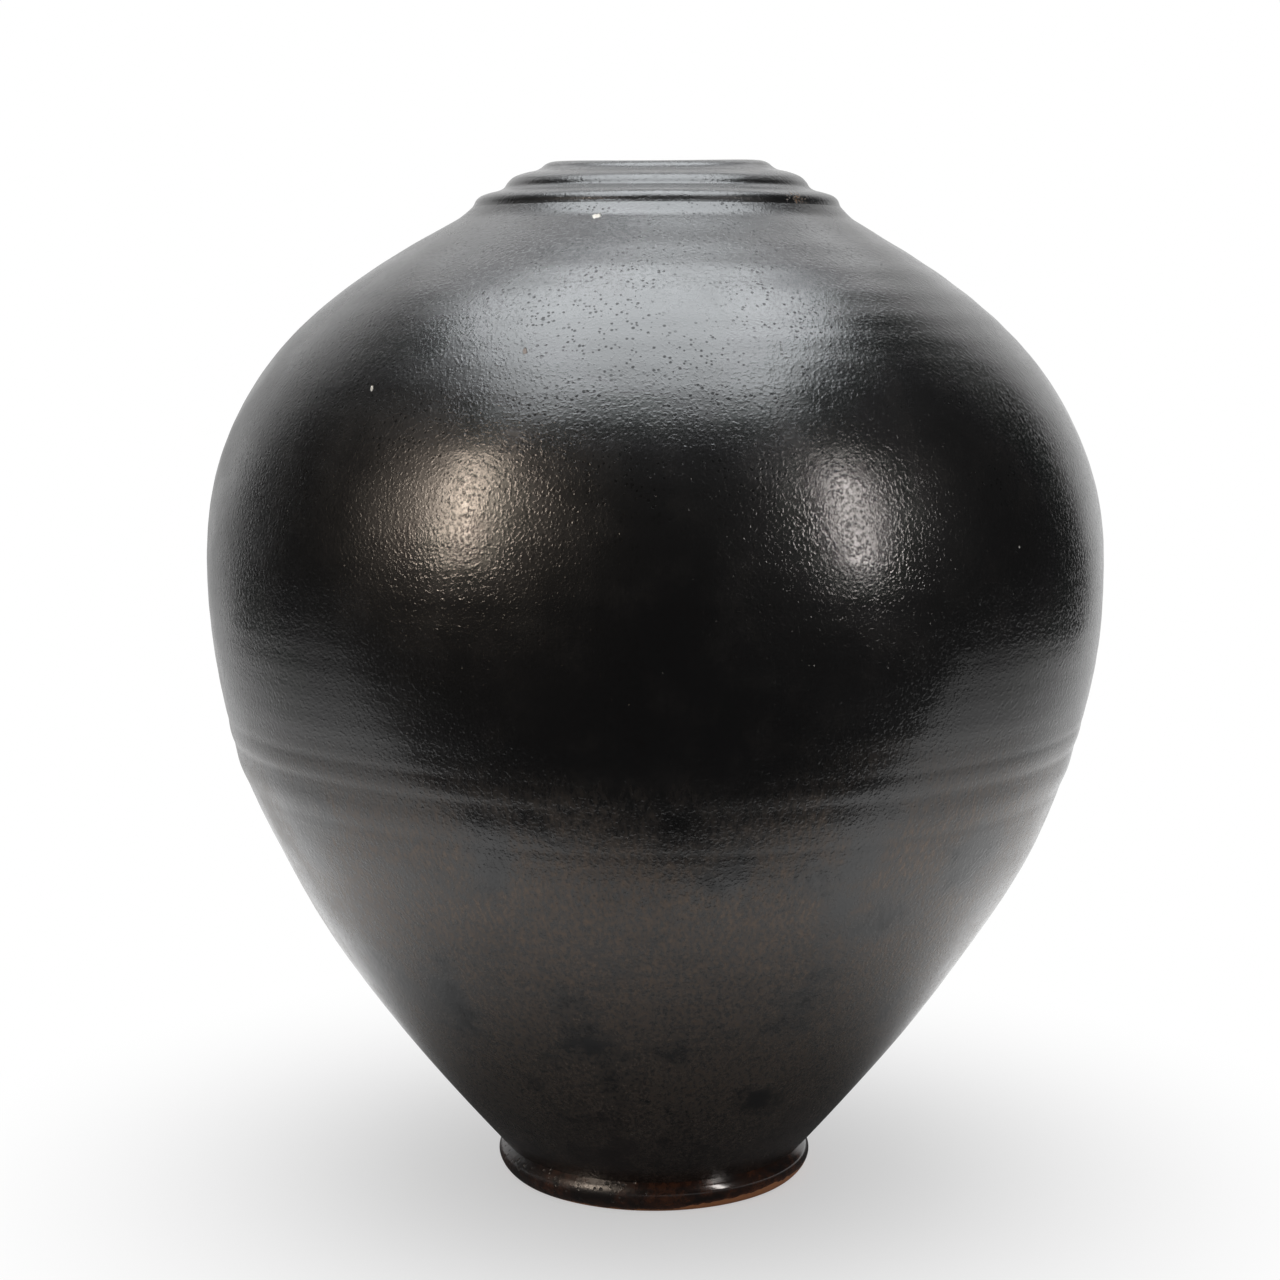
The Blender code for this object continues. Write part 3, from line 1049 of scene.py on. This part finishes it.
@dataclass
class LowerBowl(ClayPiece):
    """Floor and lower wall, thrown as one bowl."""

    node: str = "lower_body"
    slot: str = "lower_glaze"
    name: str = "lower_bowl"
    segments: int = 440
    bore: float = 0.0480
    floor: float = 0.0105
    recess: float = 0.0090
    fillet: float = 0.020

    def outline(self) -> list[tuple[Skin, Outline]]:
        """Recess roof and joint below, wall outside, rebated rim, wall and floor inside."""
        form = self.form
        outer, inner = form.outer_wall(), form.inner_wall()
        spigot = self.bore - form.fit_gap
        base = np.array(((0.0, self.recess), (spigot, self.recess)))
        side = np.array(((spigot, self.recess), (spigot, form.foot_joint),
                         (form.neck_radius, form.foot_joint)))
        plain = spread(stretch(outer, form.foot_joint, form.seam_low - 0.024), 0.0022)
        close = spread(stretch(outer, form.seam_low - 0.024, form.seam_low), 0.0008)
        outside = np.vstack((plain, close[1:]))
        middle = form.seam_middle()
        back = radius_at(outer, middle) - form.seam_depth - form.fit_gap
        rim_in = radius_at(inner, middle)
        rebate = np.array(((outside[-1, 0], form.seam_low), (back, form.seam_low), (back, middle),
                           (rim_in, middle)))
        top = self.recess + self.floor
        bend = top + self.fillet
        wall = spread(stretch(inner, bend, middle), 0.006)[::-1]
        corner_radius = wall[-1, 0] - self.fillet * 0.75
        foot = bezier(wall[-1], wall[-1] + (wall[-1] - wall[-2]) / 0.006 * 0.012,
                      np.array((corner_radius, top)), np.array((corner_radius - 0.012, top)), 16)
        flat = spread(np.array((foot[-1], (0.0, top))), 0.002)
        return [(Skin.RAW, spread(base, 0.0016)), (Skin.RAW, spread(side, 0.003)), (Skin.OUTSIDE, outside),
                (Skin.RAW, rebate), (Skin.INSIDE, np.vstack((wall, foot[1:], flat[1:])))]

    def finishes(self) -> dict[Skin, bpy.types.Material]:
        """Iron glaze outside and in, bare clay below."""
        return {Skin.OUTSIDE: IronGlaze("lower_iron_glaze").make(),
                Skin.INSIDE: IronGlaze("lower_inner_glaze", cover=0.35).make(),
                Skin.RAW: bpy.data.materials["bare_stoneware"]}


@dataclass
class PressedSeam(ClayPiece):
    """Coil of clay pressed over the joint of the two thrown sections."""

    node: str = "seam_band"
    slot: str = "seam_glaze"
    name: str = "pressed_seam"
    segments: int = 480

    def outline(self) -> list[tuple[Skin, Outline]]:
        """Crowned front, and flat edges and back in the rebate."""
        form = self.form
        outer = form.outer_wall()
        front = spread(stretch(outer, form.seam_low, form.seam_high), 0.00055)
        back = radius_at(outer, form.seam_middle()) - form.seam_depth
        rear = np.array(((front[-1, 0], form.seam_high), (back, form.seam_high), (back, form.seam_low),
                         (front[0, 0], form.seam_low)))
        return [(Skin.OUTSIDE, front), (Skin.RAW, rear[:-1])]

    def finishes(self) -> dict[Skin, bpy.types.Material]:
        """Iron glaze outside, bare clay in the rebate."""
        return {Skin.OUTSIDE: IronGlaze("seam_iron_glaze").make(),
                Skin.RAW: bpy.data.materials["bare_stoneware"]}


@dataclass
class ShoulderedBelly(ClayPiece):
    """Belly and shoulder, open at both ends."""

    node: str = "upper_body"
    slot: str = "upper_glaze"
    name: str = "shouldered_belly"
    segments: int = 480
    seat_width: float = 0.0125
    blemishes: tuple[Blemish, ...] = (
        Blemish((-0.0207, -0.0742, 0.3783), 0.0018, (0.88, 0.83, 0.72), (1.0, 0.8, 1.2), 0.0034),
        Blemish((-0.0977, -0.1179, 0.3177), 0.0010, (0.62, 0.58, 0.50), (1.6, 0.9, 0.30)),
        Blemish((0.1273, -0.1181, 0.2633), 0.0004, (0.60, 0.58, 0.52)),
        Blemish((-0.0438, -0.1353, 0.3311), 0.0009, (0.11, 0.065, 0.040), (1.0, 0.7, 0.4)))

    def outline(self) -> list[tuple[Skin, Outline]]:
        """Wall outside, collar seat and throat above, wall inside, rebated rim below."""
        form = self.form
        outer, inner = form.outer_wall(), form.inner_wall()
        close = spread(stretch(outer, form.seam_high, form.seam_high + 0.012), 0.0008)
        plain = spread(stretch(outer, form.seam_high + 0.012, form.shoulder_joint - 0.0045), 0.0019)
        top = spread(stretch(outer, form.shoulder_joint - 0.0045, form.shoulder_joint), 0.0006)
        outside = np.vstack((close, plain[1:], top[1:]))
        reach = form.collar_reach
        near = ease(form.shoulder_radius + reach - outside[:, 0], 0.0, 2.0 * reach) * 2.0
        outside[:, 1] += form.collar_rise * near * (outside[:, 1] > form.belly_height)
        bore = form.shoulder_radius - self.seat_width
        throat_low = form.shoulder_joint - form.wall
        seat = np.array((outside[-1], (bore, form.shoulder_joint)))
        wall = spread(stretch(inner, form.seam_middle(), throat_low), 0.006)[::-1]
        throat = np.array(((bore, form.shoulder_joint), (bore, throat_low), wall[0]))
        middle = form.seam_middle()
        back = radius_at(outer, middle) - form.seam_depth - form.fit_gap
        rim = np.array((wall[-1], (back, middle), (back, form.seam_high)))
        return [(Skin.OUTSIDE, outside), (Skin.RAW, seat), (Skin.INSIDE, spread(throat, 0.0025)),
                (Skin.INSIDE, wall), (Skin.RAW, rim)]

    def finishes(self) -> dict[Skin, bpy.types.Material]:
        """Iron glaze outside and in, bare clay in the joints."""
        return {Skin.OUTSIDE: IronGlaze("belly_iron_glaze", blemishes=self.blemishes).make(),
                Skin.INSIDE: IronGlaze("belly_inner_glaze", cover=0.35).make(),
                Skin.RAW: bpy.data.materials["bare_stoneware"]}


@dataclass
class SteppedCollar(ClayPiece):
    """Mouth ring in three rounded steps, with a spigot in the shoulder."""

    node: str = "collar"
    slot: str = "collar_glaze"
    name: str = "stepped_collar"
    segments: int = 480
    seat_width: float = 0.0125
    spigot_depth: float = 0.0030
    steps: tuple[tuple[float, float], ...] = (
        (0.0706, 0.3846), (0.0702, 0.3856), (0.0694, 0.3867), (0.0678, 0.3878), (0.0652, 0.3887),
        (0.0616, 0.3896),
        (0.0592, 0.3908), (0.0577, 0.3928), (0.0554, 0.3947), (0.0514, 0.3961), (0.0472, 0.3970),
        (0.0449, 0.3981), (0.0431, 0.3995), (0.0408, 0.4003), (0.0378, 0.4001), (0.0356, 0.3988),
        (0.0345, 0.3968))

    def outline(self) -> list[tuple[Skin, Outline]]:
        """Steps and lip outside, flared bore inside, spigot and joint below."""
        form = self.form
        start = ((form.shoulder_radius, form.shoulder_joint + form.collar_rise),)
        outside = spread(spline(start + self.steps), 0.00042)
        spigot = form.shoulder_radius - self.seat_width - form.fit_gap
        low = form.shoulder_joint - self.spigot_depth
        bore = spread(np.array((outside[-1], (spigot - form.wall, low))), 0.0015)
        hidden = np.array(((spigot - form.wall, low), (spigot, low), (spigot, form.shoulder_joint)))
        return [(Skin.OUTSIDE, outside), (Skin.INSIDE, bore), (Skin.RAW, hidden)]

    def finishes(self) -> dict[Skin, bpy.types.Material]:
        """Iron glaze outside and in, bare clay on the spigot."""
        speckled = Blemish((0.0525, -0.0465, 0.3850), 0.0016, (0.13, 0.058, 0.010), (0.7, 0.7, 1.4), 0.0300)
        glaze = IronGlaze("collar_iron_glaze", pinhole_row=0.3883, blemishes=(speckled,))
        return {Skin.OUTSIDE: glaze.make(),
                Skin.INSIDE: IronGlaze("collar_inner_glaze", cover=0.35).make(),
                Skin.RAW: bpy.data.materials["bare_stoneware"]}


# ---------------------------------------------------------------------------------------------------
# Studio
# ---------------------------------------------------------------------------------------------------

@dataclass(frozen=True)
class SoftLight:
    """One rectangular lamp.

    Args:
        name: Name of the lamp.
        place: Where its middle is.
        aim: What it points at.
        size: Its width and height.
        glow: Brightness of its face, where a white surface in full light is one.
        colour: Its colour.
        mirrored: Whether the glaze shows it.
        spreads: Whether it lights matt surfaces.
    """

    name: str
    place: tuple[float, float, float]
    aim: tuple[float, float, float]
    size: tuple[float, float]
    glow: float
    colour: Colour = (1.0, 1.0, 1.0)
    mirrored: bool = True
    spreads: bool = True

    def hang(self) -> bpy.types.Object:
        """Put the lamp in the scene."""
        data = bpy.data.lights.new(self.name, "AREA")
        data.shape = "RECTANGLE"
        data.size, data.size_y = self.size
        data.energy = 4.0 * self.size[0] * self.size[1] * self.glow
        data.color = self.colour
        lamp = bpy.data.objects.new(self.name, data)
        lamp.location = self.place
        way = Vector(self.aim) - Vector(self.place)
        lamp.rotation_euler = way.to_track_quat("-Z", "Y").to_euler()
        lamp.visible_camera = False
        lamp.visible_glossy = self.mirrored
        lamp.visible_diffuse = self.spreads
        bpy.context.scene.collection.objects.link(lamp)
        return lamp


@dataclass(frozen=True)
class Studio:
    """Pale floor, white surroundings, soft lamps and the camera.

    Args:
        floor_half: Half the floor's width.
        floor_colour: Colour of the paper on it.
        fade: Distances between which the paper turns white for the camera; nearer in, its white glow paints
            light into the jar's shadow.
        table_front: Where the painted table in the reflections ends in front.
        table_sides: Where it ends on the left and right.
        table_edges: Softness of its crisp and soft edges.
        painted_table_glow: How brightly the glowing painted table shows in reflections: its painted shadow of
            the jar, around it, the drop beyond, the rise behind.
        backdrop_glow: How brightly the backdrop mirrors.
        backdrop_lean: How far the backdrop leans to one side.
        backdrop_edge: Where its side edges fade.
        backdrop_top: Where its top edge fades.
        fill: Even light on matt surfaces.
        dark_room: How brightly the room in front mirrors.
        lens: Focal length.
        sensor: Width of the sensor.
        camera_place: Where the camera is.
        camera_dip: How far it looks down, in degrees.
        camera_yaw: How far it is turned, in degrees.
        lamps: The lamps.
    """

    floor_half: float = 6.0
    floor_colour: Colour = (0.83, 0.83, 0.835)
    fade: tuple[float, float] = (0.06, 0.315)
    table_front: float = -0.260
    table_sides: tuple[float, float] = (-1.02, 1.08)
    table_edges: tuple[float, float] = (0.02, 0.1)
    painted_table_glow: tuple[float, float, float, float] = (0.05, 1.2, -0.72, 0.35)
    backdrop_glow: float = 0.93
    backdrop_lean: float = -0.06
    backdrop_edge: tuple[float, float] = (0.60, 0.76)
    backdrop_top: tuple[float, float] = (0.75, 0.55)
    fill: float = 0.72
    dark_room: float = 0.030
    lens: float = 72.0
    sensor: float = 36.0
    camera_place: tuple[float, float, float] = (0.0, -1.00625, 0.352)
    camera_dip: float = 7.79
    camera_yaw: float = 0.322
    lamps: tuple[SoftLight, ...] = (
        SoftLight("rear_soft_light", (0.0, 1.02, 1.40), (0.0, 1.02, 0.0), (1.5, 1.0), 0.85,
                  (0.97, 0.98, 1.0), spreads=False),
        SoftLight("overhead_soft_light", (-0.03, -0.09, 1.40), (-0.03, -0.09, 0.0), (1.25, 1.02), 5.3,
                  (0.93, 0.97, 1.0), spreads=False),
        SoftLight("overhead_fill", (-0.03, 0.0, 1.40), (-0.03, 0.0, 0.0), (1.25, 1.15), 1.6, mirrored=False),
        SoftLight("left_window", (-1.87, -1.67, 1.24), (0.0, 0.0, 0.25), (0.24, 1.30), 34.0,
                  (1.0, 0.83, 0.68), spreads=False),
        SoftLight("right_window", (1.97, -1.62, 1.14), (0.0, 0.0, 0.25), (0.25, 1.35), 18.5,
                  (1.0, 0.94, 0.90), spreads=False))

    def lay_floor(self) -> bpy.types.Object:
        """Floor as a fine square sheet."""
        mesh = bpy.data.meshes.new("studio_floor")
        body = bmesh.new()
        bmesh.ops.create_grid(body, x_segments=24, y_segments=24, size=self.floor_half)
        body.to_mesh(mesh)
        body.free()
        mesh.materials.append(self.floor_material())
        floor = bpy.data.objects.new("studio_floor", mesh)
        bpy.context.scene.collection.objects.link(floor)
        return floor

    def floor_material(self) -> bpy.types.Material:
        """Pale matt paper that fades to white for the camera, with a white glow near the jar that paints
        light into its shadow; in reflections it glows as a painted table, with a painted shadow of the jar,
        in a dark room.
        """
        material = bpy.data.materials.new("pale_paper")
        material.use_nodes = True
        net = Wiring(material.node_tree)
        place = net.put("ShaderNodeTexCoord").outputs["Object"]
        x, y, _ = net.axes(place)
        away = net.length(place)
        path = net.put("ShaderNodeLightPath")
        paper = net.put("ShaderNodeBsdfDiffuse", None, {"Color": self.floor_colour})
        white = net.put("ShaderNodeEmission", None, {"Strength": 1.0})
        # For the camera the paper glows white: fully beyond the fade, and at nearly half close to the jar,
        # which paints light into the jar's cast shadow.
        far = net.times(path.outputs["Is Camera Ray"], net.ramp(away, *self.fade, 0.45, 1.0))
        left, right = self.table_sides
        crisp, soft = self.table_edges
        # Mask of the painted dark beyond the table's edges, seen only in reflections.
        off = net.ramp(y, self.table_front + crisp, self.table_front - crisp)
        off = net.larger(off, net.ramp(x, left + soft, left - soft))
        off = net.larger(off, net.ramp(x, right - crisp, right + crisp))
        off = net.times(off, net.minus(1.0, self.behind(net, place)))
        # In reflections the floor is an emission, not a lamp: a painted table reflection, dim where it paints
        # the jar's shadow, brighter around it and behind.
        shade, light, dim, rear = self.painted_table_glow
        painted_table_light = net.plus(net.ramp(away, 0.09, 0.275, shade, light), net.ramp(away, 0.28, 0.8, 0.0, dim))
        painted_table_light = net.plus(painted_table_light, net.ramp(y, 0.0, 0.5, 0.0, rear))
        painted_reflection = net.put("ShaderNodeEmission", None, {"Strength": net.between(off, painted_table_light, self.dark_room)})
        seen = net.put("ShaderNodeMixShader", None, {0: far, 1: paper.outputs[0], 2: white.outputs[0]})
        final = net.put("ShaderNodeMixShader", None,
                        {0: path.outputs["Is Glossy Ray"], 1: seen.outputs[0], 2: painted_reflection.outputs[0]})
        out = net.put("ShaderNodeOutputMaterial")
        net.feed(out.inputs["Surface"], final.outputs[0])
        return material

    def behind(self, net: Wiring, place: Socket) -> Socket:
        """How far a direction lies behind the jar, where the white backdrop hangs."""
        across = net.vector("NORMALIZE", net.squeeze(place, FLAT)).outputs[0]
        x, y, _ = net.axes(across)
        return net.ramp(net.onto(y, x, self.backdrop_lean), *self.backdrop_edge)

    def surround(self) -> None:
        """White surroundings, even fill light, and a dark room in front of the jar for its reflections."""
        world = bpy.data.worlds.new("studio_surround")
        bpy.context.scene.world = world
        world.use_nodes = True
        net = Wiring(world.node_tree)
        place = net.put("ShaderNodeTexCoord").outputs["Generated"]
        path = net.put("ShaderNodeLightPath")
        backdrop = net.times(self.behind(net, place), net.ramp(net.axes(place)[2], *self.backdrop_top))
        mirrored = net.onto(self.dark_room, backdrop, self.backdrop_glow - self.dark_room)
        glossy = net.between(path.outputs["Is Glossy Ray"], self.fill, mirrored)
        strength = net.between(path.outputs["Is Camera Ray"], glossy, 1.0)
        back = net.put("ShaderNodeBackground", None, {"Color": (1.0, 1.0, 1.0), "Strength": strength})
        out = net.put("ShaderNodeOutputWorld")
        net.feed(out.inputs["Surface"], back.outputs[0])

    def set_camera(self) -> None:
        """Camera a metre in front of the jar, a little above its middle."""
        data = bpy.data.cameras.new("camera")
        data.lens, data.sensor_width = self.lens, self.sensor
        camera = bpy.data.objects.new("camera", data)
        camera.location = self.camera_place
        camera.rotation_euler = Euler((math.radians(90.0 - self.camera_dip), 0.0,
                                       math.radians(self.camera_yaw)))
        bpy.context.scene.collection.objects.link(camera)
        bpy.context.scene.camera = camera

    def build(self) -> None:
        """Set up the whole studio."""
        self.lay_floor()
        self.surround()
        self.set_camera()
        for lamp in self.lamps:
            lamp.hang()
        bpy.context.scene.view_settings.view_transform = "Standard"


def plain(box: object) -> list:
    """A box as plain lists of numbers."""
    return [[float(number) for number in corner] for corner in box]


def main() -> None:
    """Build the studio and the jar."""
    logging.basicConfig(level=logging.INFO, format="%(message)s")
    Studio().build()
    form, hand = JarForm(), PotterHand()
    for maker in (TurnedFoot, LowerBowl, PressedSeam, ShoulderedBelly, SteppedCollar):
        maker(form, hand).build()


if __name__ == "__main__":
    main()
